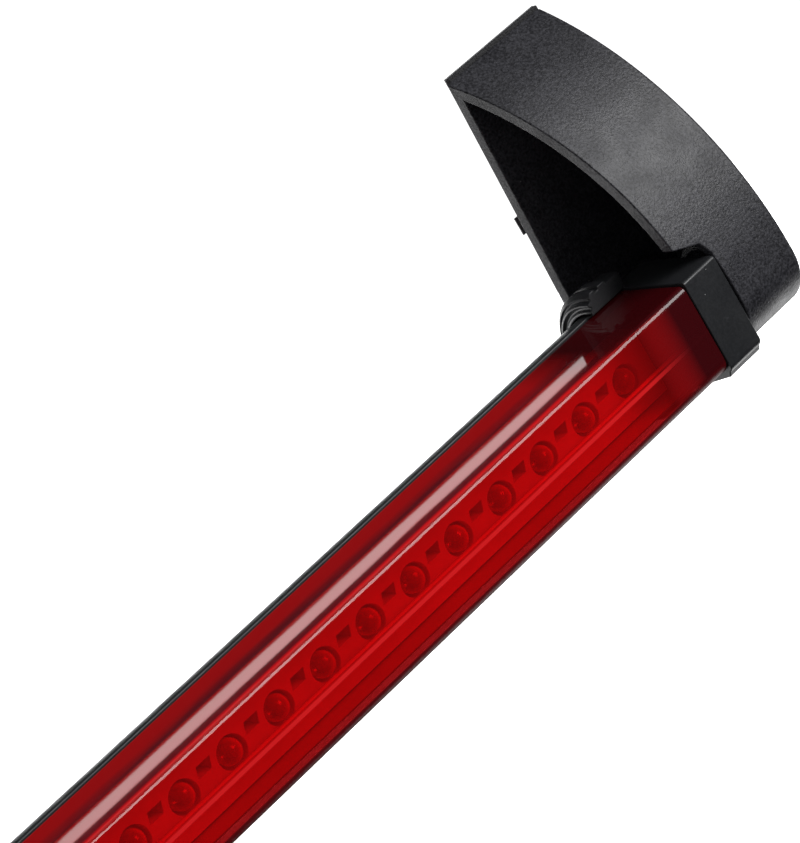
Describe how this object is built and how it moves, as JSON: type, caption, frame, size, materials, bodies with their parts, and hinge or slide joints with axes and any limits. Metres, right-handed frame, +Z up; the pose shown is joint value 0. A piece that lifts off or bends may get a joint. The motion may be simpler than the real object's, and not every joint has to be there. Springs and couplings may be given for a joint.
{
  "type": "third brake light",
  "caption": "Slim stick-on high-mount brake light bar with a clear red lens over a row of LEDs, between two tilting adhesive feet.",
  "frame": {"origin": "middle of the plane that both feet stick to, halfway along the bar and halfway up the pads", "axes": "+X along the bar, +Y out of the adhesive faces into the window or shelf, so the lamp shines towards -Y, +Z up"},
  "size_m": [0.41, 0.0332, 0.0702],
  "materials": {
    "black_plastic": "satin black moulded plastic",
    "foot_plastic": "fine-grain moulded black plastic",
    "red_lens": "polished clear red acrylic",
    "reflector": "bright moulded reflector tray",
    "board": "green solder mask",
    "led": "clear red epoxy",
    "resistor": "tan lacquer with colour bands",
    "diode": "moulded black epoxy",
    "dark_steel": "blackened screw steel",
    "rubber": "soft black rubber",
    "foam": "closed-cell acrylic foam tape",
    "liner_film": "translucent grey release film"
  },
  "bodies": {
    "lamp": {"housing": "black_plastic", "lens": "red_lens", "reflector": "reflector", "circuit_board": "board", "polarity_diode": "diode", "cable_grommet": "rubber", "led_string_01": "led", "led_string_02": "led", "led_string_03": "led", "led_string_04": "led", "led_string_05": "led", "led_string_06": "led", "led_string_07": "led", "led_string_08": "led", "led_string_09": "led", "led_string_10": "led", "resistor_01": "resistor", "resistor_02": "resistor", "resistor_03": "resistor", "resistor_04": "resistor", "resistor_05": "resistor", "resistor_06": "resistor", "resistor_07": "resistor", "resistor_08": "resistor", "resistor_09": "resistor", "resistor_10": "resistor", "right_end_cap": "black_plastic", "right_cap_screw_upper": "dark_steel", "right_cap_screw_lower": "dark_steel", "right_tilt_screw": "dark_steel", "right_spring_washer": "dark_steel", "left_end_cap": "black_plastic", "left_cap_screw_upper": "dark_steel", "left_cap_screw_lower": "dark_steel", "left_tilt_screw": "dark_steel", "left_spring_washer": "dark_steel"},
    "right_foot": {"right_foot": "foot_plastic", "right_adhesive_pad": "foam", "right_pad_liner": "liner_film"},
    "left_foot": {"left_foot": "foot_plastic", "left_adhesive_pad": "foam", "left_pad_liner": "liner_film"}
  },
  "joints": [
    {"name": "right_foot_tilt", "type": "hinge", "parent": "lamp", "child": "right_foot", "pos_m": [0.1926, -0.0151, -0.03271], "axis": [1, 0, 0], "range_deg": [-90, 3]},
    {"name": "left_foot_tilt", "type": "hinge", "parent": "lamp", "child": "left_foot", "pos_m": [-0.1926, -0.0151, -0.03271], "axis": [1, 0, 0], "range_deg": [-90, 3]}
  ]
}
